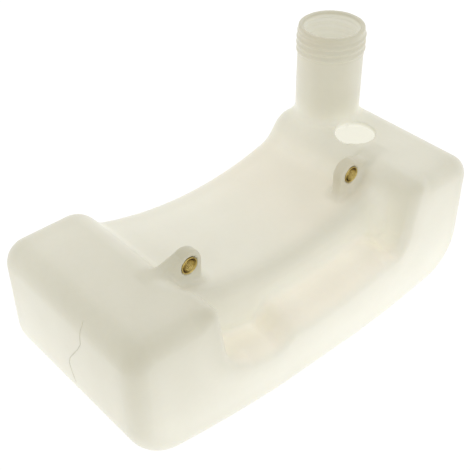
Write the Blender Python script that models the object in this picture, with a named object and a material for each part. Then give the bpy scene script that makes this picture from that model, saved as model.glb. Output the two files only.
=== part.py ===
"""Saddle-shaped moulded fuel tank: open threaded filler neck, plain port, two brass screw inserts.

Frame: +X along the tank towards the filler end, -Y towards the screw inserts, +Z up.
The origin is at the middle of the tank's box, on the surface that it stands on. Metres.
"""
import math

import bmesh
import bpy
from mathutils import Vector

# --- Driving dimensions -------------------------------------------------------------------------
TANK_LENGTH = 0.238
TANK_DEPTH = 0.1115
TANK_HEIGHT = 0.087          # flat tops of the two lobes
WALL = 0.003

BELLY_RADIUS = 0.570         # gently bowed underside
BELLY_CENTRE_X = 0.004
REST_LENGTH = 0.060          # flat land under the middle of the belly
LEFT_BELLY_CORNER = 0.024
RIGHT_BELLY_CORNER = 0.0255
TOP_CORNER = 0.013
EDGE_RADIUS = 0.010          # round edge of the front and rear faces

SADDLE_RADIUS = 0.194
SADDLE_FLOOR = 0.063         # lowest height of the saddle
SADDLE_CENTRE_X = 0.001
LEFT_CREST_X = -0.068        # where the lobe walls would meet the lobe tops
RIGHT_CREST_X = 0.068
WALL_LEAN = math.radians(12)
CREST_RADIUS = 0.0115
SADDLE_FOOT_RADIUS = 0.004

RIM_Y = -0.0315              # front edge of the saddle
RIM_RADIUS = 0.005
RECESS_WALL_RUN = 0.0035     # how far the wall under the rim comes forward towards its foot
SHELF_DROP = 0.0160          # from the saddle down to the top of the bulge in front of it
SHELF_LEFT_X = -0.021
SHELF_RIGHT_X = 0.055
SHELF_RADIUS = 0.010
POCKET_DROP = 0.026          # from the saddle down to the pocket floors beside the bulge
LEFT_POCKET_RADIUS = 0.006
RIGHT_POCKET_RADIUS = 0.003
LEFT_FLANK_RUN = 0.007       # how far a flank of the bulge runs out towards its foot
RIGHT_FLANK_RUN = 0.0035
RECESS_LEFT_X = -0.067       # where the recess walls would meet the lobe tops
RECESS_RIGHT_X = 0.071
RECESS_LEAN = math.radians(8.5)

NECK_RADIUS = 0.0190
NECK_LENGTH = 0.054          # how far the neck stands above the lobe's flat top
NECK_END_INSET = 0.0238      # from the neck's axis to the end of the tank
NECK_REAR_INSET = 0.00125    # from the neck's wall to the rear face
NECK_X = TANK_LENGTH / 2 - NECK_END_INSET
NECK_Y = TANK_DEPTH / 2 - NECK_RADIUS - NECK_REAR_INSET
NECK_TOP = TANK_HEIGHT + NECK_LENGTH
NECK_WALL = 0.0028
NECK_LIP_ROUND = 0.001
THREAD_DEPTH = 0.0009
THREAD_WIDTH = 0.0024
THREAD_PITCH = 0.0039
THREAD_TURNS = 3.0
THREAD_TOP_GAP = 0.0045      # from the rim to the middle of the first thread
THREAD_START = math.radians(33)

PORT_RADIUS = 0.0115
PORT_SIDESTEP = 0.0080       # how far the port sits inboard of the neck
PORT_NECK_GAP = 0.00084      # between the port's edge and the neck's wall
PORT_NECK_DISTANCE = NECK_RADIUS + PORT_RADIUS + PORT_NECK_GAP
PORT_X = NECK_X - PORT_SIDESTEP
PORT_Y = NECK_Y - math.sqrt(PORT_NECK_DISTANCE ** 2 - PORT_SIDESTEP ** 2)

EAR_FRONT_Y = -0.0183
EAR_REAR_Y = -0.0112
EAR_RADIUS = 0.0082
EAR_EDGE_ROUND = 0.0016
LEFT_EAR_X = -0.0555
RIGHT_EAR_X = 0.0595
INSERT_HEIGHT = 0.0822       # height of the screw axes

INSERT_RADIUS = 0.0047
INSERT_LENGTH = 0.0058
INSERT_BORE_RADIUS = 0.0025
INSERT_MOUTH_RADIUS = 0.0031
INSERT_MOUTH_DEPTH = 0.0007
INSERT_GROOVE_DEPTH = 0.0006
INSERT_GROOVE_WIDTH = 0.0010
INSERT_PROUD = 0.0002        # how far the brass face stands out of the ear
FIT_GAP = 0.0003

# --- Mesh fineness ------------------------------------------------------------------------------
FILLET_STEPS = 4
EDGE_STEPS = 4
ARC_STEPS = 12
NECK_SEGMENTS = 48
INSERT_SEGMENTS = 32
MIN_STATION_GAP = 0.0016
OVERSHOOT = 0.004            # how far a cutter or a joined root runs past the face it crosses


# --- Outline helpers ----------------------------------------------------------------------------
def fillet(before, corner, after, radius, steps=FILLET_STEPS):
    """Points of the arc of the given radius that rounds a corner between two straight runs."""
    into = (before - corner).normalized()
    away = (after - corner).normalized()
    half = into.angle(away) / 2
    reach = radius / math.tan(half)
    start = corner + into * reach
    end = corner + away * reach
    centre = corner + (into + away).normalized() * (radius / math.sin(half))
    sweep = math.pi - 2 * half
    first = start - centre
    side = (end - centre) - first * math.cos(sweep)
    side = side.normalized() * radius
    points = []
    for step in range(steps + 1):
        turn = sweep * step / steps
        points.append(centre + first * math.cos(turn) + side * math.sin(turn))
    return points


def rounded_path(corners, closed=False):
    """Turn (x, z, radius) corners into points; a radius of 0 keeps the corner as it is."""
    points = [Vector((x, z)) for x, z, _ in corners]
    radii = [radius for _, _, radius in corners]
    count = len(points)
    path = []
    for index, (point, radius) in enumerate(zip(points, radii)):
        if radius == 0 or (not closed and index in (0, count - 1)):
            path.append(point)
        else:
            path += fillet(points[index - 1], point, points[(index + 1) % count], radius)
    return path


def inset_outline(points, distance):
    """Move a closed outline inwards along its mitres. The outline runs anticlockwise."""
    count = len(points)
    moved = []
    for index, point in enumerate(points):
        before = (point - points[index - 1]).normalized()
        after = (points[(index + 1) % count] - point).normalized()
        normal_before = Vector((-before.y, before.x))
        normal_after = Vector((-after.y, after.x))
        mitre = (normal_before + normal_after) / (1 + normal_before.dot(normal_after))
        moved.append(point + mitre * distance)
    return moved


def height_at(path, x):
    """Height of a left-to-right path at x."""
    for (x0, z0), (x1, z1) in zip(path, path[1:]):
        if x0 <= x <= x1:
            return z0 + (z1 - z0) * (x - x0) / (x1 - x0)
    return path[-1].y if x > path[-1].x else path[0].y


def arc_height(x, centre_x, radius, lowest):
    """Height of the lower side of a circle whose lowest point is at the given height."""
    return lowest + radius - math.sqrt(radius ** 2 - (x - centre_x) ** 2)


# --- Tank outlines ------------------------------------------------------------------------------
def below_saddle(x, drop):
    """Height of the arc that runs parallel to the saddle, a drop below it."""
    return arc_height(x, SADDLE_CENTRE_X, SADDLE_RADIUS + drop, SADDLE_FLOOR - drop)


def arc_run(first_x, last_x, drop, steps):
    """Plain points between two places on the arc a drop below the saddle."""
    run = []
    for step in range(1, steps):
        x = first_x + (last_x - first_x) * step / steps
        run.append((x, below_saddle(x, drop), 0))
    return run


def wall_foot(crest_x, lean, drop):
    """Where a leaning lobe wall meets the arc a drop below the saddle, by stepping to the crossing."""
    x = crest_x
    for _ in range(40):
        height = below_saddle(x, drop)
        x = crest_x - math.copysign((TANK_HEIGHT - height) * math.tan(lean), crest_x)
    return x, height


def between_lobes(left_x, right_x, lower_corners):
    """Left-to-right path from lobe top to lobe top over the given lower corners."""
    corners = [(-TANK_LENGTH / 2, TANK_HEIGHT, 0), (left_x, TANK_HEIGHT, CREST_RADIUS)]
    corners += lower_corners
    corners += [(right_x, TANK_HEIGHT, CREST_RADIUS), (TANK_LENGTH / 2, TANK_HEIGHT, 0)]
    return rounded_path(corners)[1:-1]


def saddle_path(drop):
    left = wall_foot(LEFT_CREST_X, WALL_LEAN, drop)
    right = wall_foot(RIGHT_CREST_X, WALL_LEAN, drop)
    corners = [(*left, SADDLE_FOOT_RADIUS)]
    corners += arc_run(left[0], right[0], drop, ARC_STEPS)
    corners.append((*right, SADDLE_FOOT_RADIUS))
    return between_lobes(LEFT_CREST_X, RIGHT_CREST_X, corners)


def recess_path():
    """Front recess under the saddle: the bulge in the middle and a pocket at each end."""
    left = wall_foot(RECESS_LEFT_X, RECESS_LEAN, POCKET_DROP)
    right = wall_foot(RECESS_RIGHT_X, RECESS_LEAN, POCKET_DROP)
    left_flank = SHELF_LEFT_X - LEFT_FLANK_RUN
    right_flank = SHELF_RIGHT_X + RIGHT_FLANK_RUN
    corners = [(*left, LEFT_POCKET_RADIUS)]
    corners.append((left_flank, below_saddle(left_flank, POCKET_DROP), LEFT_POCKET_RADIUS))
    corners.append((SHELF_LEFT_X, below_saddle(SHELF_LEFT_X, SHELF_DROP), SHELF_RADIUS))
    corners += arc_run(SHELF_LEFT_X, SHELF_RIGHT_X, SHELF_DROP, ARC_STEPS // 2)
    corners.append((SHELF_RIGHT_X, below_saddle(SHELF_RIGHT_X, SHELF_DROP), SHELF_RADIUS))
    corners.append((right_flank, below_saddle(right_flank, POCKET_DROP), RIGHT_POCKET_RADIUS))
    corners.append((*right, RIGHT_POCKET_RADIUS))
    return between_lobes(RECESS_LEFT_X, RECESS_RIGHT_X, corners)


def lower_outline():
    """The rest of the tank's outline: from the left crest down, under and up to the right crest."""
    left = -TANK_LENGTH / 2
    right = TANK_LENGTH / 2
    land = REST_LENGTH / 2
    sink = arc_height(land, 0, BELLY_RADIUS, 0)

    def belly(x):
        return arc_height(x, BELLY_CENTRE_X, BELLY_RADIUS, -sink)

    corners = [
        (LEFT_CREST_X, TANK_HEIGHT, 0),
        (left, TANK_HEIGHT, TOP_CORNER),
        (left, belly(left), LEFT_BELLY_CORNER),
    ]
    start = left + LEFT_BELLY_CORNER * 1.2
    stop = right - RIGHT_BELLY_CORNER * 1.2
    land_left = BELLY_CENTRE_X - land
    land_right = BELLY_CENTRE_X + land
    runs = ((start, land_left), (land_right, stop))
    for first, last in runs:
        for step in range(4):
            x = first + (last - first) * step / 3
            corners.append((x, max(belly(x), 0), 0))
    corners += [
        (right, belly(right), RIGHT_BELLY_CORNER),
        (right, TANK_HEIGHT, TOP_CORNER),
        (RIGHT_CREST_X, TANK_HEIGHT, 0),
    ]
    return rounded_path(corners)[1:-1]


def station_list(paths):
    """The x of every corner of every path, without the ones that crowd each other."""
    last = paths[0][-1].x
    stations = [paths[0][0].x]
    for x in sorted(point.x for path in paths for point in path):
        if x - stations[-1] >= MIN_STATION_GAP and last - x >= MIN_STATION_GAP:
            stations.append(x)
    return stations + [last]


def tank_rings(skin):
    """Rings of the tank's surface from front to rear, moved inwards by skin."""
    recess = recess_path()
    rim = saddle_path(RIM_RADIUS)
    saddle = saddle_path(0)
    stations = station_list((recess, rim, saddle))
    lower = lower_outline()
    front = -TANK_DEPTH / 2 + skin
    rear = TANK_DEPTH / 2 - skin
    edge = EDGE_RADIUS - skin
    rings = []

    def add(y, low, high, blend, inset):
        """One ring whose middle is part of the way from the low path to the high one."""
        outline = list(lower)
        for x in reversed(stations):
            z = height_at(low, x) * (1 - blend) + height_at(high, x) * blend
            outline.append(Vector((x, z)))
        rings.append([Vector((p.x, y, p.y)) for p in inset_outline(outline, inset + skin)])

    for step in range(EDGE_STEPS + 1):
        turn = math.pi / 2 * step / EDGE_STEPS
        add(front + edge * (1 - math.cos(turn)), recess, recess, 0, edge * (1 - math.sin(turn)))
    foot_y = RIM_Y - RECESS_WALL_RUN + skin
    add(foot_y, recess, rim, 0, 0)
    add(foot_y + RECESS_WALL_RUN / 4, recess, rim, 0.15, 0)
    for step in range(EDGE_STEPS):
        turn = math.pi / 2 * step / (EDGE_STEPS - 1)
        y = RIM_Y + skin + RIM_RADIUS * (1 - math.cos(turn))
        add(y, rim, saddle, math.sin(turn), 0)
    for step in range(EDGE_STEPS + 1):
        turn = math.pi / 2 * (1 - step / EDGE_STEPS)
        add(rear - edge * (1 - math.cos(turn)), saddle, saddle, 0, edge * (1 - math.sin(turn)))
    return rings


# --- Object helpers -----------------------------------------------------------------------------
def make_material(name, colour, roughness, metallic=0.0):
    material = bpy.data.materials.new(name)
    material.use_nodes = True
    shader = material.node_tree.nodes["Principled BSDF"]
    shader.inputs["Base Color"].default_value = (*colour, 1)
    shader.inputs["Roughness"].default_value = roughness
    shader.inputs["Metallic"].default_value = metallic
    return material


def make_object(name, mesh_builder, material=None, smooth=35):
    mesh = bpy.data.meshes.new(name)
    shape = bmesh.new()
    mesh_builder(shape)
    bmesh.ops.recalc_face_normals(shape, faces=shape.faces)
    shape.to_mesh(mesh)
    shape.free()
    mesh.shade_smooth()
    mesh.set_sharp_from_angle(angle=math.radians(smooth))
    if material:
        mesh.materials.append(material)
    thing = bpy.data.objects.new(name, mesh)
    bpy.context.scene.collection.objects.link(thing)
    return thing


def loft(shape, rings):
    """Bridge rings of equal length in order and close both ends with evenly cut faces."""
    loops = [[shape.verts.new(point) for point in ring] for ring in rings]
    count = len(loops[0])
    for low, high in zip(loops, loops[1:]):
        for index in range(count):
            after = (index + 1) % count
            shape.faces.new((low[index], low[after], high[after], high[index]))
    ends = [shape.faces.new(reversed(loops[0])), shape.faces.new(loops[-1])]
    bmesh.ops.triangulate(shape, faces=ends, ngon_method="BEAUTY")


def turned_rings(profile, segments, place):
    """Rings of a turned shape from (radius, height) points; place turns (x, y, height) to world."""
    rings = []
    for radius, height in profile:
        ring = []
        for step in range(segments):
            angle = 2 * math.pi * step / segments
            ring.append(place(radius * math.cos(angle), radius * math.sin(angle), height))
        rings.append(ring)
    return rings


def turned_solid(name, profile, segments, place, material=None):
    return make_object(name, lambda shape: loft(shape, turned_rings(profile, segments, place)), material)


def combine(target, tool, operation):
    """Add a Boolean and make the tool a hidden cutter."""
    boolean = target.modifiers.new(tool.name, "BOOLEAN")
    boolean.operation = operation
    boolean.solver = "EXACT"
    boolean.object = tool
    tool.hide_render = True
    tool.display_type = "WIRE"


def on_neck(x, y, z):
    return Vector((NECK_X + x, NECK_Y + y, z))


def on_port(x, y, z):
    return Vector((PORT_X + x, PORT_Y + y, z))


def on_insert(ear_x):
    """Placement about an insert's axis; height runs back into the ear from its front face."""
    return lambda x, y, z: Vector((ear_x + x, EAR_FRONT_Y + z, INSERT_HEIGHT + y))


# --- Tank pieces --------------------------------------------------------------------------------
def build_neck():
    rounding = NECK_LIP_ROUND
    profile = [
        (NECK_RADIUS, TANK_HEIGHT - CREST_RADIUS),
        (NECK_RADIUS, NECK_TOP - rounding),
        (NECK_RADIUS - rounding * 0.3, NECK_TOP - rounding * 0.3),
        (NECK_RADIUS - rounding, NECK_TOP),
    ]
    return turned_solid("neck_outside", profile, NECK_SEGMENTS, on_neck)


def build_thread():
    """Right-hand screw thread, a ridge that fades into the neck at both ends."""
    steps = round(THREAD_TURNS * NECK_SEGMENTS / 2)
    fade = NECK_SEGMENTS / 8
    bottom = NECK_TOP - THREAD_TOP_GAP - THREAD_PITCH * THREAD_TURNS
    buried = NECK_RADIUS - THREAD_DEPTH
    rings = []
    for step in range(steps + 1):
        angle = THREAD_START + 4 * math.pi * step / NECK_SEGMENTS
        risen = min(1, step / fade, (steps - step) / fade)
        crest = NECK_RADIUS + THREAD_DEPTH * (1.4 * risen - 0.4)
        middle = bottom + THREAD_PITCH * step * 2 / NECK_SEGMENTS
        section = (
            (buried, -THREAD_WIDTH * 0.5),
            (crest, -THREAD_WIDTH * 0.2),
            (crest, THREAD_WIDTH * 0.2),
            (buried, THREAD_WIDTH * 0.5),
        )
        rings.append([
            on_neck(radius * math.cos(angle), radius * math.sin(angle), middle + rise)
            for radius, rise in section
        ])
    return make_object("neck_thread", lambda shape: loft(shape, rings))


def build_ear(name, centre_x, side):
    """Solid ear that grows out of the lobe wall; side is -1 on the left."""
    bottom = SADDLE_FLOOR + OVERSHOOT
    root_x = (LEFT_CREST_X if side < 0 else RIGHT_CREST_X) + side * OVERSHOOT
    inner_x = centre_x - side * EAR_RADIUS
    top = INSERT_HEIGHT + EAR_RADIUS
    corners = [
        (root_x, bottom, 0),
        (inner_x - side * OVERSHOOT / 2, bottom, 0),
        (inner_x, top, EAR_RADIUS * 0.95),
        (centre_x + side * EAR_RADIUS * 0.6, top - OVERSHOOT / 8, 0),
        (root_x, TANK_HEIGHT - OVERSHOOT / 2, 0),
    ]
    if side > 0:
        corners.reverse()
    outline = rounded_path(corners, closed=True)
    rings = []
    for y, inset in (
        (EAR_FRONT_Y, EAR_EDGE_ROUND),
        (EAR_FRONT_Y + EAR_EDGE_ROUND * 0.3, EAR_EDGE_ROUND * 0.3),
        (EAR_FRONT_Y + EAR_EDGE_ROUND, 0),
        (EAR_REAR_Y - EAR_EDGE_ROUND, 0),
        (EAR_REAR_Y - EAR_EDGE_ROUND * 0.3, EAR_EDGE_ROUND * 0.3),
        (EAR_REAR_Y, EAR_EDGE_ROUND),
    ):
        rings.append([Vector((p.x, y, p.y)) for p in inset_outline(outline, inset)])
    return make_object(name, lambda shape: loft(shape, rings))


def build_insert_pocket(name, ear_x):
    profile = [
        (INSERT_RADIUS + FIT_GAP, -OVERSHOOT),
        (INSERT_RADIUS + FIT_GAP, INSERT_LENGTH - INSERT_PROUD + FIT_GAP),
    ]
    return turned_solid(name, profile, INSERT_SEGMENTS, on_insert(ear_x))


def build_tank_shell(material):
    tank = make_object("tank_shell", lambda shape: loft(shape, tank_rings(0)), material)
    combine(tank, build_neck(), "UNION")
    combine(tank, build_thread(), "UNION")
    combine(tank, build_ear("left_ear", LEFT_EAR_X, -1), "UNION")
    combine(tank, build_ear("right_ear", RIGHT_EAR_X, 1), "UNION")
    cavity = make_object("cavity", lambda shape: loft(shape, tank_rings(WALL)))
    combine(tank, cavity, "DIFFERENCE")
    bore = NECK_RADIUS - NECK_WALL
    bore_profile = [(bore, TANK_HEIGHT - WALL - OVERSHOOT), (bore, NECK_TOP + OVERSHOOT)]
    combine(tank, turned_solid("neck_bore", bore_profile, NECK_SEGMENTS, on_neck), "DIFFERENCE")
    port_profile = [(PORT_RADIUS, TANK_HEIGHT - WALL - OVERSHOOT), (PORT_RADIUS, TANK_HEIGHT + OVERSHOOT)]
    combine(tank, turned_solid("port_cutter", port_profile, NECK_SEGMENTS, on_port), "DIFFERENCE")
    combine(tank, build_insert_pocket("left_insert_pocket", LEFT_EAR_X), "DIFFERENCE")
    combine(tank, build_insert_pocket("right_insert_pocket", RIGHT_EAR_X), "DIFFERENCE")
    return tank


def build_insert(name, ear_x, material):
    """Brass screw insert: turned body with two grip grooves, blind at the back."""
    front = -INSERT_PROUD
    back = INSERT_LENGTH - INSERT_PROUD
    core = INSERT_RADIUS - INSERT_GROOVE_DEPTH
    profile = [(INSERT_BORE_RADIUS, back - WALL / 2), (INSERT_BORE_RADIUS, front + INSERT_MOUTH_DEPTH)]
    profile += [(INSERT_MOUTH_RADIUS, front), (INSERT_RADIUS, front)]
    for centre in (INSERT_LENGTH / 3, INSERT_LENGTH * 2 / 3):
        near = front + centre - INSERT_GROOVE_WIDTH / 2
        far = near + INSERT_GROOVE_WIDTH
        profile += [(INSERT_RADIUS, near), (core, near), (core, far), (INSERT_RADIUS, far)]
    profile.append((INSERT_RADIUS, back))
    return turned_solid(name, profile, INSERT_SEGMENTS, on_insert(ear_x), material)


def main():
    for thing in list(bpy.data.objects):
        bpy.data.objects.remove(thing)
    plastic = make_material("milky_polyethylene", (0.84, 0.81, 0.68), 0.45)
    brass = make_material("turned_brass", (0.66, 0.47, 0.16), 0.32, 1.0)
    build_tank_shell(plastic)
    build_insert("left_screw_insert", LEFT_EAR_X, brass)
    build_insert("right_screw_insert", RIGHT_EAR_X, brass)


main()
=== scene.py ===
"""The finished look of a milky moulded saddle fuel tank with two brass screw inserts.

The tank is a field of distances in millimetres, negative inside the plastic. The field is skinned on
a grid and the skin's points are moved onto the surface itself, so that every joint is a true blend.
"""

import math

import bpy
import numpy as np
from mathutils import Matrix, Vector


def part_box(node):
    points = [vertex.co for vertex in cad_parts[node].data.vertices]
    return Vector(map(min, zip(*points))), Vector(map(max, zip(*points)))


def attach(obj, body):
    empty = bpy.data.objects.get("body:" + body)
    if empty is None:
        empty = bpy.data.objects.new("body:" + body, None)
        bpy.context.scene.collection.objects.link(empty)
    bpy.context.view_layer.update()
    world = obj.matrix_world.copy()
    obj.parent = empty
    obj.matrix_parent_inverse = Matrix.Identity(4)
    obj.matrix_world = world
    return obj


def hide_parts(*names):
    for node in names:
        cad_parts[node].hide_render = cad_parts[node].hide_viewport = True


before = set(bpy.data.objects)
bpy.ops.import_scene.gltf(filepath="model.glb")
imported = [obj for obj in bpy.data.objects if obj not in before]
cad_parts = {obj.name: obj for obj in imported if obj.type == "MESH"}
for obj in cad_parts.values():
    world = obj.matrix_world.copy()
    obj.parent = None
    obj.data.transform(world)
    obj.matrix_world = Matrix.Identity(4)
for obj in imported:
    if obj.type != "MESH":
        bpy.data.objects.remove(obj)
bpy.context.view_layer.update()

MM = 1000.0                  # millimetres in the frame's metre
TURN = 2 * math.pi

# --- Sizes read from the frame, in millimetres ---------------------------------------------------
TANK_LOW, TANK_HIGH = (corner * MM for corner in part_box("tank_shell"))
FLASH_PROUD = 0.2            # how far the parting line stands out of the end wall
HALF_LENGTH = TANK_HIGH.x - FLASH_PROUD
HALF_DEPTH = TANK_HIGH.y
NECK_TOP = TANK_HIGH.z
INSERT_NODES = ("left_screw_insert", "right_screw_insert")
INSERT_BOXES = {name: [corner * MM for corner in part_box(name)] for name in INSERT_NODES}
INSERT_HEIGHT = sum(corner.z for corner in INSERT_BOXES[INSERT_NODES[0]]) / 2
OUTWARD = (-1, 1)            # which way along the tank each insert's lobe lies

# --- The moulding, in millimetres ----------------------------------------------------------------
TANK_HEIGHT = 87.0
WALL = 3.0                   # gives the inner wall its roundings
LEAST_WALL = 3.5             # the wall is at least this thick, and close to it nearly everywhere
BELLY_RADIUS = 570.0
BELLY_CENTRE_X = 4.0
REST_LENGTH = 60.0           # flat land under the middle of the belly
BELLY_BLEND = 0.4
LEFT_BELLY_CORNER = 24.0
RIGHT_BELLY_CORNER = 25.5
TOP_CORNER = 13.0
EDGE_RADIUS = 10.0           # round edge of the front and rear faces

SADDLE_RADIUS = 194.0
SADDLE_FLOOR = 63.0
SADDLE_CENTRE_X = 1.0
SADDLE_CRESTS = (-68.0, 68.0)
SADDLE_LEAN = math.tan(math.radians(12))
SADDLE_FOOT_RADIUS = 5.0
CREST_RADIUS = 11.5

RIM_Y = -31.5                # the rim between the saddle and the recess in front of it
RIM_RADIUS = 5.0
FORWARD_RUN = 9.0            # how gradually the saddle walls turn into the recess walls
RECESS_FOOT_RADIUS = 4.0
RECESS_CREST_RADIUS = 6.0
RECESS_EDGE_RADIUS = 5.5
RECESS_WALL_RUN = 3.5        # how far the recess's rear wall leans forward on its way down
RECESS_CRESTS = (-67.0, 71.0)
RECESS_LEAN = math.tan(math.radians(8.5))
RECESS_CORNER = 7.0
POCKET_DROP = 26.0           # below the saddle's floor, as is the next
BULGE_DROP = 16.0
BULGE_ENDS = (-24.0, 56.5)
BULGE_FLANK_RUN = 8.0
BULGE_FALL = 3.0             # how far the bulge's top sinks from its rear crease to the front face
POCKET_HEIGHT = SADDLE_FLOOR - POCKET_DROP
SHARP_FROM_POCKET = (POCKET_HEIGHT - 8, POCKET_HEIGHT + 4)
SHARP_BY_WALL = (4, 14)      # the recess's upright edges are sharper this near to its walls

NECK_RADIUS = 19.0
NECK_AXIS = (95.2, 35.5)
NECK_BORE = 16.2
NECK_FOOT_RADIUS = 3.0
NECK_LIP_ROUND = 1.1
THREAD_DEPTH = 0.9
THREAD_PITCH = 3.9
THREAD_TURNS = 3.0
THREAD_FOOT = NECK_TOP - 4.5 - THREAD_TURNS * THREAD_PITCH
THREAD_RUN_IN = (THREAD_FOOT - 1, THREAD_FOOT + 1.5)
THREAD_RUN_OUT = (NECK_TOP - 4, NECK_TOP - 2.6)
THREAD_SHARPNESS = 1.6
BORE_RIPPLE = 0.5            # how far the thread shows on the inside of the neck

PORT_RADIUS = 11.5
PORT_AXIS = (87.2, 5.2)
PORT_LIP_ROUND = 0.7

EAR_FRONT_Y = -18.3
EAR_REAR_Y = -11.2
EAR_RADIUS = 8.2
EAR_REACH = 24.0             # from the screw's axis into the lobe
EAR_FALL = 0.27              # how steeply the ear's top falls on that way
EAR_EDGE_ROUND = 1.8
EAR_FILLET = 3.0
INSERT_CLEARANCE = 0.06
INSERT_HOLE_ROUND = 0.25

# The parting line's course down the left end, as (y, z).
PARTING_LINE = ((-15.6, 85.0), (-16.2, 81.0), (-15.6, 74.0), (-14.9, 68.2), (-11.2, 62.1), (-3.0, 50.9),
                (-1.0, 46.0), (-2.4, 40.5), (-4.8, 34.8))
PARTING_RINGS = 90
PARTING_SIDES = 8
PARTING_END = 0.35           # how thick the line is where it starts and ends, as a share

# --- A brass insert, in millimetres --------------------------------------------------------------
INSERT_RIM_WIDTH = 0.45
INSERT_GROOVE_WIDTH = 0.95
INSERT_GROOVE_DEPTH = 0.9
INSERT_COLLAR_SINK = 0.25
INSERT_CHAMFER = 0.15
INSERT_THREAD_ROOT = 3.0
INSERT_THREAD_CREST = 2.55
INSERT_THREAD_PITCH = 1.0
INSERT_THREAD_START = INSERT_COLLAR_SINK + 0.35
INSERT_THREAD_LENGTH = 4.2
INSERT_BORE_DEPTH = 5.3
INSERT_LEAD_IN = 8           # the thread is full after an eighth of its length
GRIP_STARTS = (0.72, 0.42)   # where the grip grooves begin, as shares of the insert's length
GRIP_WIDTH = 1.0
GRIP_SLOPE = 0.2
GRIP_DEPTH = 0.5
INSERT_SIDES = 64
INSERT_THREAD_RINGS = 40
# Painted shade in the insert's groove is darkest at this angle and on the opposite side, and never below the
# least share.
SHADE_ANGLE = math.radians(45)
LEAST_SHADE = 0.15

# --- Painted light and shade on the plastic, following its shape ---------------------------------
# Paleness is exp(tone), and it is painted light and shade: lighter low down, towards the filler end,
# in hollows and on the recess floor, darker on tops, ridges, the rim, up the neck and about the ears;
# the hollows and ridges also stand in part for thinner and thicker wall. Places are in hundreds of
# millimetres, facings are the normal's x, y and z, and bulges are (span in millimetres, weight).
HUNDRED = 100.0
PALE_AT_ZERO = 0.30
PALE_BY_PLACE = (0.059, 0.122, -0.35)
PALE_BY_FACING = (0.104, 0.075, -0.124)
PALE_BY_BULGE = ((3.0, 0.161), (6.0, -0.12), (10.0, -0.061), (16.0, -0.324), (25.0, 0.214))
SMALL_SPAN = THREAD_PITCH * 2
RECESS_CALM = 0.8            # how much less the small bulges count on the recess floor
PLAIN_TONE = 0.79
DARK_TONE = 0.45
LIGHT_TONE = 0.95
NECK_TONE = -0.05
RECESS_LIGHT = 0.10
RIM_SHADE = -0.045
EAR_SHADE = -0.13
FLASH_PALENESS = 0.18
RECESS_WARMTH = 0.8
SADDLE_WARMTH = 0.65
NECK_DULLING = 0.5           # how much less painted glow the inside of the neck gets than the inside of the tank

UP_NECK = (TANK_HEIGHT + 2, TANK_HEIGHT + 14)
INTO_NECK = (TANK_HEIGHT - 4, TANK_HEIGHT + 4)
OFF_EAR = (0.5, 6)
INTO_WALL = (WALL * 0.25, WALL * 0.8)
RECESS_TO_WALLS = (-8, 4)
RECESS_FROM_RIM = (-RIM_Y + 1, -RIM_Y + 6)
FACING_UP = (0.2, 0.8)
SADDLE_TO_WALLS = (-8, 6)
SADDLE_FROM_RIM = (RIM_Y, RIM_Y + 14)
SADDLE_WARMING = (-25, 45)
RIM_TO_WALLS = (-12, 0)
RIM_BREADTH = 6.0
RIM_LOWEST = SADDLE_FLOOR - 8

# --- Grid, in millimetres ------------------------------------------------------------------------
COARSE = 1.65
FINE = 1.2
NECK_STEP = 1.5
THREAD_STEP = 0.72
MARGIN = 2.5
SLOPE_STEP = 0.02
LEAST_STEEPNESS = 0.25
STRIDE = 0.9

# --- Colours, as linear light --------------------------------------------------------------------
# The first two colours are the painted shade and the painted light of one plastic, mixed by the paleness.
SHADED_PLASTIC = (0.478, 0.450, 0.330)
LIT_PLASTIC = (0.968, 0.951, 0.855)
# The warm tint is a painted glow of light through the plastic; the cool tint is used elsewhere.
COOL_TINT = (0.992, 1.0, 0.992)
WARM_TINT = (1.008, 0.975, 0.935)
# The inner walls glow with painted light, standing in for light gathered inside the tank.
INNER_PLASTIC = (0.50, 0.49, 0.46)
PAINTED_INNER_GLOW = (0.44, 0.44, 0.398)
BRIGHT_BRASS = (0.68, 0.54, 0.20)
DULL_BRASS = (0.50, 0.37, 0.11)
# Brass under the painted shade in the groove.
SHADED_BRASS = (0.10, 0.055, 0.012)
BLACK = (0, 0, 0)
WHITE = (1, 1, 1)
FLOOR_GREY = (0.3, 0.3, 0.3)
FLOOR_GLOW = 0.74

# --- Camera and floor; the camera's lengths are in millimetres -----------------------------------
AZIMUTH = math.radians(-41.189)
ELEVATION = math.radians(38.738)
ROLL = math.radians(-0.497)
TARGET_HEIGHT = 52.14
TARGET_RIGHT = -7.58
TARGET_UP = 6.75
DISTANCE = 509.2
LENS = 71.05
SENSOR = 36
FLOOR_HALF = 3.0             # metres, as is the next
FLOOR_DROP = 0.0002


# --- Distance helpers ----------------------------------------------------------------------------
def meet(a, b, radius):
    """What two shapes share, with the edge where they meet rounded."""
    corner = np.hypot(np.maximum(a + radius, 0), np.maximum(b + radius, 0))
    return np.minimum(-radius, np.maximum(a, b)) + corner


def join(a, b, radius):
    """Two shapes together, with a fillet of the given radius where they meet."""
    corner = np.hypot(np.maximum(radius - a, 0), np.maximum(radius - b, 0))
    return np.maximum(radius, np.minimum(a, b)) - corner


def circle(x, z, centre_x, centre_z, radius):
    return np.hypot(x - centre_x, z - centre_z) - radius


def rise(value, stretch):
    """0 below the stretch, 1 above it, and smooth between."""
    low, high = stretch
    part = np.clip((value - low) / (high - low), 0, 1)
    return part * part * (3 - 2 * part)


def between(start, end, share):
    return start + (end - start) * share


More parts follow.
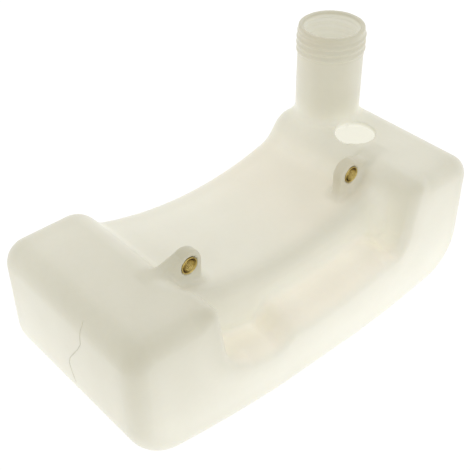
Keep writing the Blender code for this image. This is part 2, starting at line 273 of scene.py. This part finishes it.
# --- Shapes of the tank --------------------------------------------------------------------------
def long_outline(x, z, skin):
    """The long outline without its hollow: ends, flat top and bowed belly."""
    ends = np.abs(x) - HALF_LENGTH
    top = z - TANK_HEIGHT
    sink = BELLY_RADIUS - math.sqrt(BELLY_RADIUS ** 2 - (REST_LENGTH / 2) ** 2)
    bow = circle(x, z, BELLY_CENTRE_X, BELLY_RADIUS - sink, BELLY_RADIUS)
    belly = meet(bow, -z, BELLY_BLEND)
    corner = between(LEFT_BELLY_CORNER, RIGHT_BELLY_CORNER, rise(x, (-HALF_LENGTH / 2, HALF_LENGTH / 2)))
    upper = meet(ends + skin, top + skin, TOP_CORNER - skin)
    return meet(upper, belly + skin, corner - skin)


def below_saddle(x, drop):
    """Height of a floor that runs this far below the saddle's."""
    radius = SADDLE_RADIUS + drop
    return SADDLE_FLOOR + SADDLE_RADIUS - np.sqrt(radius ** 2 - (x - SADDLE_CENTRE_X) ** 2)


def recess_floor(x, y):
    """Height of the recess floor: pockets at both ends and the bulge between them."""
    left, right = BULGE_ENDS
    bulge = rise(x, (left - BULGE_FLANK_RUN, left + BULGE_FLANK_RUN))
    bulge = bulge * (1 - rise(x, (right - BULGE_FLANK_RUN, right + BULGE_FLANK_RUN)))
    forward = rise(-y, (-RIM_Y, HALF_DEPTH))
    return below_saddle(x, between(POCKET_DROP, BULGE_DROP, bulge)) - BULGE_FALL * forward * bulge


def ahead_of_rim(y):
    """0 at the saddle and 1 at the recess."""
    return rise(-y, (-RIM_Y - FORWARD_RUN, -RIM_Y + FORWARD_RUN))


def lobe_walls(x, y, z):
    """Negative between the lobes, whose inner walls stand a little further apart at the recess."""
    ahead = ahead_of_rim(y)
    lean = between(SADDLE_LEAN, RECESS_LEAN, ahead)
    left_crest, right_crest = (between(*pair, ahead) for pair in zip(SADDLE_CRESTS, RECESS_CRESTS))
    left = left_crest + (TANK_HEIGHT - z) * lean
    right = right_crest - (TANK_HEIGHT - z) * lean
    return np.maximum(left - x, x - right) / np.hypot(1, lean)


def hollow_space(x, y, z, skin):
    """The saddle and the finger recess before it, grown by skin, with a rolled rim between them."""
    saddle = circle(x, z, SADDLE_CENTRE_X, SADDLE_FLOOR + SADDLE_RADIUS, SADDLE_RADIUS) - skin
    nearby = 0.5
    steep = (recess_floor(x + nearby, y) - recess_floor(x - nearby, y)) / (2 * nearby)
    floor = (recess_floor(x, y) - z) / np.hypot(1, steep) - skin
    sink = np.clip((below_saddle(x, 0) - z) / (POCKET_DROP - RIM_RADIUS), 0, 1)
    back = y - (RIM_Y - RECESS_WALL_RUN * sink) - skin
    recess = meet(floor, back, RECESS_FOOT_RADIUS + skin)
    scoop = join(saddle, recess, RIM_RADIUS - skin)
    corner = between(SADDLE_FOOT_RADIUS, RECESS_CORNER, ahead_of_rim(y))
    return meet(scoop, lobe_walls(x, y, z) - skin, corner + skin)


def tank_body(x, y, z, skin):
    """The moulding's outer surface without neck and ears, or with a skin its inner one."""
    ahead = ahead_of_rim(y)
    crest = between(CREST_RADIUS, RECESS_CREST_RADIUS, ahead)
    hollowed = meet(long_outline(x, z, skin), -hollow_space(x, y, z, skin), crest - skin)
    by_wall = 1 - rise(np.abs(lobe_walls(x, y, z)), SHARP_BY_WALL)
    sharp = ahead * rise(z, SHARP_FROM_POCKET) * by_wall
    edge = between(EDGE_RADIUS, RECESS_EDGE_RADIUS, sharp)
    return meet(hollowed, np.abs(y) - HALF_DEPTH + skin, edge - skin)


def from_axis(x, y, axis):
    return np.hypot(x - axis[0], y - axis[1])


def thread_wave(x, y, z):
    """1 on the crest of the neck's thread, 0 between its turns and beyond its ends."""
    turn = np.arctan2(y - NECK_AXIS[1], x - NECK_AXIS[0]) / TURN
    wave = 0.5 + 0.5 * np.cos(TURN * ((z - THREAD_FOOT) / THREAD_PITCH - turn))
    return np.power(wave, THREAD_SHARPNESS) * rise(z, THREAD_RUN_IN) * (1 - rise(z, THREAD_RUN_OUT))


def neck(x, y, z):
    """The filler neck as a solid post with its screw thread."""
    radius = NECK_RADIUS + THREAD_DEPTH * thread_wave(x, y, z)
    post = meet(from_axis(x, y, NECK_AXIS) - radius, z - NECK_TOP, NECK_LIP_ROUND)
    return np.maximum(post, TANK_HEIGHT - CREST_RADIUS - z)


def ear(x, y, z, insert, outward):
    """A solid ear: a round head about the insert that runs back into the lobe's wall."""
    low, high = INSERT_BOXES[insert]
    centre = (low.x + high.x) / 2
    out = (x - centre) * outward
    head = circle(x, z, centre, INSERT_HEIGHT, EAR_RADIUS)
    fall = EAR_FALL * np.clip(out, 0, EAR_REACH)
    arm = np.maximum(np.maximum(-out, out - EAR_REACH), z - INSERT_HEIGHT - EAR_RADIUS + fall)
    foot = np.maximum(np.abs(out) - EAR_RADIUS, z - INSERT_HEIGHT)
    above_floor = np.maximum(np.minimum(arm, foot), SADDLE_FLOOR - WALL - z)
    outline = np.minimum(head, above_floor)
    middle = (EAR_FRONT_Y + EAR_REAR_Y) / 2
    half = (EAR_REAR_Y - EAR_FRONT_Y) / 2
    return meet(outline, np.abs(y - middle) - half, EAR_EDGE_ROUND)


def outer_field(x, y, z):
    """Distance to the moulding as if it were solid: body, neck and ears."""
    solid = join(tank_body(x, y, z, 0), neck(x, y, z), NECK_FOOT_RADIUS)
    for insert, outward in zip(INSERT_NODES, OUTWARD):
        solid = join(solid, ear(x, y, z, insert, outward), EAR_FILLET)
    return np.maximum(solid, np.abs(y) - HALF_DEPTH)


def tank_field(x, y, z):
    """Distance to the whole hollow moulding."""
    outside = outer_field(x, y, z)
    cavity = np.maximum(tank_body(x, y, z, WALL), outside + LEAST_WALL)
    solid = np.maximum(outside, -cavity)
    below_top = TANK_HEIGHT - WALL - EDGE_RADIUS / 2 - z
    bore = from_axis(x, y, NECK_AXIS) - NECK_BORE - thread_wave(x, y, z) * BORE_RIPPLE
    solid = meet(solid, -np.maximum(bore, below_top), NECK_LIP_ROUND)
    port = from_axis(x, y, PORT_AXIS) - PORT_RADIUS
    solid = meet(solid, -np.maximum(port, below_top), PORT_LIP_ROUND)
    for low, high in INSERT_BOXES.values():
        radius = (high.x - low.x) / 2 + INSERT_CLEARANCE
        hole = circle(x, z, (low.x + high.x) / 2, INSERT_HEIGHT, radius)
        solid = meet(solid, -np.maximum(hole, y - high.y - INSERT_CLEARANCE), INSERT_HOLE_ROUND)
    return solid


# --- Skinning a field ----------------------------------------------------------------------------
def grid_line(low, high, bands):
    """Grid places from low to high; bands are (from, to, step) stretches that are finer."""
    places = [low]
    while places[-1] < high:
        here = places[-1]
        steps = [COARSE] + [step for start, stop, step in bands if start <= here <= stop]
        places.append(here + min(steps))
    return np.array(places)


def tank_grid():
    """Grid places along the three axes, closer at the ears, the neck and its thread."""
    neck_x, neck_y = NECK_AXIS
    reach = NECK_RADIUS + 2
    along = [(low.x - 5, high.x + 5, FINE) for low, high in INSERT_BOXES.values()]
    along.append((neck_x - reach, neck_x + reach, NECK_STEP))
    across = [(EAR_FRONT_Y - 2, EAR_REAR_Y + 2, FINE), (neck_y - reach, neck_y + reach, NECK_STEP)]
    upward = [(INSERT_HEIGHT - 7, INSERT_HEIGHT + 9, FINE), (NECK_TOP - 20, NECK_TOP + 2, THREAD_STEP)]
    return (
        grid_line(TANK_LOW.x - MARGIN, HALF_LENGTH + MARGIN, along),
        grid_line(-HALF_DEPTH - MARGIN, HALF_DEPTH + MARGIN, across),
        grid_line(-MARGIN, NECK_TOP + MARGIN, upward),
    )


def cells_beside(index, axis):
    """The four grid cells round each crossed edge along the axis, in turning order."""
    others = [n for n in range(3) if n != axis]
    for back_a, back_b in ((0, 0), (1, 0), (1, 1), (0, 1)):
        cell = [places.copy() for places in index]
        cell[others[0]] -= back_a
        cell[others[1]] -= back_b
        yield tuple(cell)


def skin_field(field, lines):
    """Surface nets: a point in each cell that the surface crosses, a face for each crossed edge."""
    xs, ys, zs = lines
    values = field(xs[:, None, None], ys[None, :, None], zs[None, None, :])
    shape = [count - 1 for count in values.shape]
    sums = np.zeros(shape + [3])
    counts = np.zeros(shape)
    crossed_edges = []
    for axis in range(3):
        near = np.moveaxis(values, axis, 0)[:-1]
        far = np.moveaxis(values, axis, 0)[1:]
        index = np.nonzero(np.moveaxis((near < 0) != (far < 0), 0, axis))
        a = np.moveaxis(near, 0, axis)[index]
        b = np.moveaxis(far, 0, axis)[index]
        place = np.stack([line[part] for line, part in zip(lines, index)], axis=1)
        start = place[:, axis]
        stop = lines[axis][index[axis] + 1]
        place[:, axis] = start + a / (a - b) * (stop - start)
        for cell in cells_beside(index, axis):
            np.add.at(sums, cell, place)
            np.add.at(counts, cell, 1)
        crossed_edges.append((axis, index, a < 0))
    filled = counts > 0
    numbers = np.full(counts.shape, -1)
    numbers[filled] = np.arange(filled.sum())
    points = sums[filled] / counts[filled][:, None]
    faces = []
    for axis, index, starts_inside in crossed_edges:
        quads = np.stack([numbers[cell] for cell in cells_beside(index, axis)], axis=1)
        backward = starts_inside if axis == 1 else ~starts_inside
        quads[backward] = quads[backward][:, ::-1]
        faces.append(quads)
    return points, np.concatenate(faces)


def slope_of(field, points):
    """Gradient of the field at the points."""
    slope = np.zeros_like(points)
    for axis in range(3):
        shift = np.zeros(3)
        shift[axis] = SLOPE_STEP
        change = field(*(points + shift).T) - field(*(points - shift).T)
        slope[:, axis] = change / (2 * SLOPE_STEP)
    return slope


def unit(vectors):
    return vectors / np.linalg.norm(vectors, axis=1, keepdims=True)


def settle(field, points, rounds):
    """Move the points along the slope onto the surface itself."""
    for _ in range(rounds):
        slope = slope_of(field, points)
        steepness = np.maximum((slope ** 2).sum(axis=1), LEAST_STEEPNESS)
        points = points - slope * (field(*points.T) / steepness * STRIDE)[:, None]
    return points


def bulging(points, span):
    """How far the moulding bulges at each point: positive in hollows, negative on ridges."""
    total = -6 * outer_field(*points.T)
    for axis in range(3):
        for shift in (-span, span):
            moved = points.copy()
            moved[:, axis] += shift
            total += outer_field(*moved.T)
    return total / (6 * span)


# --- Look of the plastic, point by point ---------------------------------------------------------
def on_recess_floor(points, normals):
    """1 on the recess floor, fading out towards its walls and where it turns down to the front."""
    x, y, z = points.T
    off_walls = 1 - rise(lobe_walls(x, y, z), RECESS_TO_WALLS)
    return off_walls * rise(-y, RECESS_FROM_RIM) * rise(normals[:, 2], FACING_UP)


def on_rim(points):
    """1 along the crest of the rim between saddle and recess, fading to 0 on both sides."""
    x, y, z = points.T
    off_walls = 1 - rise(lobe_walls(x, y, z), RIM_TO_WALLS)
    return off_walls * np.exp(-((y - RIM_Y - RIM_RADIUS) / RIM_BREADTH) ** 2) * (z > RIM_LOWEST)


def painted_light_and_shade(points, normals):
    """Painted light and shade on the plastic, 0 to 1: paler in hollows, low down and towards the filler end.
    """
    tone = PALE_AT_ZERO + points / HUNDRED @ np.array(PALE_BY_PLACE) + normals @ np.array(PALE_BY_FACING)
    in_recess = on_recess_floor(points, normals)
    up_neck = rise(points[:, 2], UP_NECK)
    for span, weight in PALE_BY_BULGE:
        share = (1 - up_neck) * (1 - RECESS_CALM * in_recess) if span < SMALL_SPAN else 1
        tone += weight * share * bulging(points, span)
    # Painted light on the recess floor, painted shade along the rim, and darker up the neck.
    tone += NECK_TONE * up_neck + RECESS_LIGHT * in_recess + RIM_SHADE * on_rim(points)
    # Painted shade on the ears and on the wall about their feet.
    for insert, outward in zip(INSERT_NODES, OUTWARD):
        tone += EAR_SHADE * (1 - rise(ear(*points.T, insert, outward), OFF_EAR))
    return np.clip((PLAIN_TONE * np.exp(tone) - DARK_TONE) / (LIGHT_TONE - DARK_TONE), 0, 1)


def painted_warm_glow(points, normals):
    """1 where a warm glow of light through the plastic is painted on: on the recess floor and up the filler
    end of the saddle.
    """
    x, y, z = points.T
    in_saddle = (1 - rise(lobe_walls(x, y, z), SADDLE_TO_WALLS)) * rise(y, SADDLE_FROM_RIM)
    saddle_warmth = SADDLE_WARMTH * in_saddle * rise(x, SADDLE_WARMING)
    return np.clip(RECESS_WARMTH * on_recess_floor(points, normals) + saddle_warmth, 0, 1)


def inside_share(points):
    """1 on the inner walls of the tank, which get a painted glow, less up inside the neck, 0 on the outside.
    """
    inside = rise(-outer_field(*points.T), INTO_WALL)
    return inside * (1 - NECK_DULLING * rise(points[:, 2], INTO_NECK))


# --- Piece making --------------------------------------------------------------------------------
def make_piece(name, points, faces, material):
    """A smooth mesh from points in millimetres, riding on the tank."""
    mesh = bpy.data.meshes.new(name)
    mesh.from_pydata((np.asarray(points) / MM).tolist(), [], faces)
    mesh.validate()
    mesh.shade_smooth()
    mesh.materials.append(material)
    piece = bpy.data.objects.new(name, mesh)
    bpy.context.scene.collection.objects.link(piece)
    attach(piece, "root")
    return piece


def store(piece, name, values):
    """Keep one number for each point, for the material to read."""
    layer = piece.data.attributes.new(name, "FLOAT", "POINT")
    layer.data.foreach_set("value", np.asarray(values, np.float32))


def ring_faces(rings, sides):
    """Faces between rings of points that follow one another."""
    faces = []
    for ring in range(rings - 1):
        for step in range(sides):
            here, there, after = ring * sides, (ring + 1) * sides, (step + 1) % sides
            faces.append((here + step, here + after, there + after, there + step))
    return faces


# --- Material writing ----------------------------------------------------------------------------
class Wire:
    """A node's output, with arithmetic that adds Math nodes."""

    def __init__(self, sheet, socket):
        self.sheet = sheet
        self.socket = socket

    def math(self, operation, first, second):
        return self.sheet.node("ShaderNodeMath", {"operation": operation}, {0: first, 1: second})

    def __add__(self, other):
        return self.math("ADD", self, other)

    def __radd__(self, other):
        return self.math("ADD", other, self)

    def __sub__(self, other):
        return self.math("SUBTRACT", self, other)

    def __rsub__(self, other):
        return self.math("SUBTRACT", other, self)

    def __mul__(self, other):
        return self.math("MULTIPLY", self, other)

    def __rmul__(self, other):
        return self.math("MULTIPLY", other, self)


class Sheet:
    """One material and its nodes."""

    def __init__(self, name):
        self.material = bpy.data.materials.new(name)
        self.material.use_nodes = True
        self.tree = self.material.node_tree
        self.shader = self.tree.nodes["Principled BSDF"]

    def plug(self, socket, value):
        """Give a socket a wire, a number, a colour or a vector."""
        if isinstance(value, Wire):
            self.tree.links.new(value.socket, socket)
        elif isinstance(value, tuple) and len(socket.default_value) > len(value):
            socket.default_value = (*value, 1)
        else:
            socket.default_value = value

    def node(self, kind, settings=None, sockets=None, output=0):
        """Add a node: its settings first, then its sockets by name or number."""
        made = self.tree.nodes.new(kind)
        for name, value in (settings or {}).items():
            setattr(made, name, value)
        for key, value in (sockets or {}).items():
            self.plug(made.inputs[key], value)
        return Wire(self, made.outputs[output])

    def set(self, **sockets):
        """Plug the shader's own sockets, named with underscores for spaces."""
        for name, value in sockets.items():
            self.plug(self.shader.inputs[name.replace("_", " ")], value)

    def mix(self, share, first, second, blend="MIX"):
        settings = {"data_type": "RGBA", "blend_type": blend}
        return self.node("ShaderNodeMix", settings, {0: share, 6: first, 7: second}, output=2)

    def attribute(self, name):
        return self.node("ShaderNodeAttribute", {"attribute_name": name}, output="Fac")

    def place(self):
        """The piece's own coordinates in millimetres."""
        metres = self.node("ShaderNodeTexCoord", output="Object")
        return self.node("ShaderNodeVectorMath", {"operation": "SCALE"}, {0: metres, "Scale": MM})

    def noise(self, place, size, detail=3.0):
        """Noise from 0 to 1 whose lumps are about size millimetres across."""
        return self.node("ShaderNodeTexNoise", {}, {"Vector": place, "Scale": 1 / size, "Detail": detail})

    def bump(self, height, strength, distance):
        sockets = {"Strength": strength, "Distance": distance, "Height": height}
        return self.node("ShaderNodeBump", {}, sockets)


def milky_plastic():
    """Unpigmented polyethylene: clouded and flecked, painted pale where light gathers, with a painted glow
    inside.
    """
    sheet = Sheet("milky_polyethylene")
    place = sheet.place()
    hollow = sheet.attribute("hollow")
    cloud = sheet.noise(place, size=24.0) - 0.5
    fleck = sheet.noise(place, size=3.0) - 0.5
    # Paleness carries the painted light and shade, broken by random cloud and flecks.
    pale = sheet.attribute("pale") + cloud * 0.10 + fleck * 0.03
    warm = sheet.attribute("warm") + sheet.noise(place, size=40.0, detail=1.0) * 0.3
    # The painted warm glow tints the plastic.
    tint = sheet.mix(warm, COOL_TINT, WARM_TINT)
    skin = sheet.mix(1.0, sheet.mix(pale, SHADED_PLASTIC, LIT_PLASTIC), tint, "MULTIPLY")
    peel = sheet.noise(place, size=1.6, detail=2.0) * 0.5 + sheet.noise(place, size=0.35, detail=2.0) * 0.2
    # The inner walls' emission is a painted glow.
    sheet.set(
        Base_Color=sheet.mix(hollow, skin, INNER_PLASTIC),
        Emission_Color=sheet.mix(hollow, BLACK, PAINTED_INNER_GLOW),
        Emission_Strength=1.0,
        Roughness=0.34 + sheet.noise(place, size=9.0) * 0.12,
        Normal=sheet.bump(peel, strength=0.25, distance=0.00006),
        IOR=1.54,
        Subsurface_Weight=0.15,
        Subsurface_Radius=(1.0, 0.85, 0.55),
        Subsurface_Scale=0.004,
    )
    return sheet.material


def turned_brass():
    """Brass from the lathe: fine rings, a little tarnish, and painted shade down in the groove."""
    sheet = Sheet("turned_brass")
    place = sheet.place()
    tarnish = sheet.noise(place, size=1.2, detail=4.0)
    settings = {"clamp": True, "interpolation_type": "SMOOTHSTEP"}
    sockets = {"Value": tarnish, "From Min": 0.35, "From Max": 0.7}
    dullness = sheet.node("ShaderNodeMapRange", settings, sockets)
    brass = sheet.mix(dullness, BRIGHT_BRASS, DULL_BRASS)
    settings = {"wave_type": "RINGS", "rings_direction": "Y"}
    rings = sheet.node("ShaderNodeTexWave", settings, {"Vector": place, "Scale": 1.5, "Distortion": 0.6})
    # The groove's painted shade darkens the brass.
    sheet.set(
        Base_Color=sheet.mix(sheet.attribute("grime"), brass, SHADED_BRASS),
        Metallic=1.0,
        Roughness=0.22 + tarnish * 0.2,
        Normal=sheet.bump(rings, strength=0.2, distance=0.00004),
    )
    return sheet.material


def pale_floor():
    """Glows as softly as the room, and is clear from below so that the underside can be seen."""
    sheet = Sheet("pale_floor")
    sheet.set(Base_Color=FLOOR_GREY, Roughness=0.9, Emission_Color=WHITE, Emission_Strength=FLOOR_GLOW)
    from_below = sheet.node("ShaderNodeNewGeometry", output="Backfacing")
    pale = Wire(sheet, sheet.shader.outputs[0])
    clear = sheet.node("ShaderNodeBsdfTransparent")
    both = sheet.node("ShaderNodeMixShader", {}, {0: from_below, 1: pale, 2: clear})
    sheet.plug(sheet.tree.nodes["Material Output"].inputs["Surface"], both)
    return sheet.material


# --- Pieces --------------------------------------------------------------------------------------
def build_tank(material):
    points, faces = skin_field(tank_field, tank_grid())
    points = settle(tank_field, points, rounds=3)
    normals = unit(slope_of(tank_field, points))
    piece = make_piece("moulded_tank", points, faces.tolist(), material)
    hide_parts("tank_shell")
    store(piece, "pale", painted_light_and_shade(points, normals))
    store(piece, "warm", painted_warm_glow(points, normals))
    store(piece, "hollow", inside_share(points))
    piece.data.normals_split_custom_set_from_vertices(normals.tolist())


def build_parting_line(material):
    """The fine flash line of the mould on the left end, with the kink where it steps aside."""
    course = np.array([(-HALF_LENGTH, y, z) for y, z in PARTING_LINE])
    stations = np.linspace(0, len(course) - 1, PARTING_RINGS)
    spine = np.stack([np.interp(stations, np.arange(len(course)), line) for line in course.T], axis=1)
    spine[1:-1] = (spine[:-2] + 2 * spine[1:-1] + spine[2:]) / 4
    spine = settle(outer_field, spine, rounds=6)
    outward = unit(slope_of(outer_field, spine))
    across = np.cross(unit(np.gradient(spine, axis=0)), outward)
    angles = TURN * np.arange(PARTING_SIDES) / PARTING_SIDES
    points = []
    for place, out, side, share in zip(spine, outward, across, np.linspace(0, 1, PARTING_RINGS)):
        swell = FLASH_PROUD * between(PARTING_END, 1, math.sqrt(max(0, math.sin(math.pi * share))))
        points += [place + swell * (out * math.cos(angle) + side * math.sin(angle)) for angle in angles]
    faces = ring_faces(PARTING_RINGS, PARTING_SIDES)
    faces.append(tuple(range(PARTING_SIDES))[::-1])
    faces.append(tuple(range(len(points) - PARTING_SIDES, len(points))))
    piece = make_piece("parting_line", points, faces, material)
    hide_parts("tank_shell")
    store(piece, "pale", np.full(len(points), FLASH_PALENESS))


def insert_outline(length, outer):
    """Radius and depth of a turned insert from the back, round the outside and in to the bore's mouth."""
    rim = outer - INSERT_RIM_WIDTH
    collar = rim - INSERT_GROOVE_WIDTH
    outline = [(0.0, length), (outer - INSERT_CHAMFER, length), (outer, length - INSERT_CHAMFER)]
    for share in GRIP_STARTS:
        start = length * share
        stop = start - GRIP_WIDTH
        waist = outer - GRIP_DEPTH
        outline += [(outer, start), (waist, start - GRIP_SLOPE), (waist, stop + GRIP_SLOPE), (outer, stop)]
    outline += [
        (outer, INSERT_CHAMFER),
        (outer - INSERT_CHAMFER, 0),
        (rim + INSERT_CHAMFER, 0),
        (rim, INSERT_CHAMFER),
        (rim, INSERT_GROOVE_DEPTH),
        (collar, INSERT_GROOVE_DEPTH),
        (collar, INSERT_COLLAR_SINK + INSERT_CHAMFER),
        (collar - INSERT_CHAMFER, INSERT_COLLAR_SINK),
        (INSERT_THREAD_ROOT + 0.2, INSERT_COLLAR_SINK),
    ]
    return outline


def insert_rings(length, outer):
    """Radius, depth and share of thread for each ring of points, from the back to the bore's end."""
    rings = [(radius, depth, 0) for radius, depth in insert_outline(length, outer)]
    for step in range(INSERT_THREAD_RINGS + 1):
        part = step / INSERT_THREAD_RINGS
        depth = INSERT_THREAD_START + INSERT_THREAD_LENGTH * part
        rings.append((INSERT_THREAD_ROOT, depth, min(1, part * INSERT_LEAD_IN)))
    rings.append((0.0, INSERT_BORE_DEPTH, 0))
    return rings


def build_insert(node_name, material):
    """A brass insert: rim, groove with painted shade, inner collar and a threaded blind bore."""
    low, high = INSERT_BOXES[node_name]
    centre = (low + high) / 2
    outer = (high.x - low.x) / 2
    groove = outer - INSERT_RIM_WIDTH - INSERT_GROOVE_WIDTH / 2
    rings = insert_rings(high.y - low.y, outer)
    points, grime = [], []
    for radius, depth, thread in rings:
        for step in range(INSERT_SIDES):
            angle = TURN * step / INSERT_SIDES
            wave = 0.5 + 0.5 * math.cos(TURN * depth / INSERT_THREAD_PITCH - angle)
            real = radius - thread * (INSERT_THREAD_ROOT - INSERT_THREAD_CREST) * wave
            across, up = real * math.cos(angle), real * math.sin(angle)
            points.append((centre.x + across, low.y + depth, centre.z + up))
            in_groove = abs(real - groove) <= INSERT_GROOVE_WIDTH / 2 + 0.01 and depth > INSERT_CHAMFER + 0.05
            # Painted shade in the groove, darkest towards the shade angle and its opposite side.
            share = between(LEAST_SHADE, 1, math.cos(angle - SHADE_ANGLE) ** 2)
            grime.append(share if in_groove else 0.0)
    faces = ring_faces(len(rings), INSERT_SIDES)
    name = node_name.replace("screw_insert", "brass_insert")
    piece = make_piece(name, points, faces, material)
    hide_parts(node_name)
    store(piece, "grime", grime)
    weld = piece.modifiers.new("close_ends", "WELD")
    weld.merge_threshold = 0.00001


# --- Stage ---------------------------------------------------------------------------------------
def build_floor(material):
    mesh = bpy.data.meshes.new("floor")
    corners = [(x * FLOOR_HALF, y * FLOOR_HALF, 0) for x, y in ((-1, -1), (1, -1), (1, 1), (-1, 1))]
    mesh.from_pydata(corners, [], [(0, 1, 2, 3)])
    mesh.materials.append(material)
    floor = bpy.data.objects.new("floor", mesh)
    floor.location.z = -FLOOR_DROP
    bpy.context.scene.collection.objects.link(floor)


def light_room():
    """A white room, evenly lit from every side."""
    world = bpy.data.worlds.new("white_room")
    world.use_nodes = True
    background = world.node_tree.nodes["Background"]
    background.inputs["Color"].default_value = (*WHITE, 1)
    background.inputs["Strength"].default_value = 1.0
    bpy.context.scene.world = world
    bpy.context.scene.view_settings.view_transform = "Standard"


def place_camera():
    level = math.cos(ELEVATION)
    back = Vector((math.sin(AZIMUTH) * level, -math.cos(AZIMUTH) * level, math.sin(ELEVATION)))
    level_right = (-back).cross(Vector((0, 0, 1))).normalized()
    level_up = level_right.cross(-back)
    right = level_right * math.cos(ROLL) + level_up * math.sin(ROLL)
    up = level_up * math.cos(ROLL) - level_right * math.sin(ROLL)
    target = Vector((0, 0, TARGET_HEIGHT)) + right * TARGET_RIGHT + up * TARGET_UP
    lens = bpy.data.cameras.new("camera")
    lens.sensor_width = SENSOR
    lens.lens = LENS
    camera = bpy.data.objects.new("camera", lens)
    bpy.context.scene.collection.objects.link(camera)
    stand = Matrix((right, up, back)).transposed().to_4x4()
    stand.translation = (target + back * DISTANCE) / MM
    camera.matrix_world = stand
    bpy.context.scene.camera = camera


plastic = milky_plastic()
brass = turned_brass()
build_tank(plastic)
build_parting_line(plastic)
for insert_node in INSERT_NODES:
    build_insert(insert_node, brass)
build_floor(pale_floor())
light_room()
place_camera()
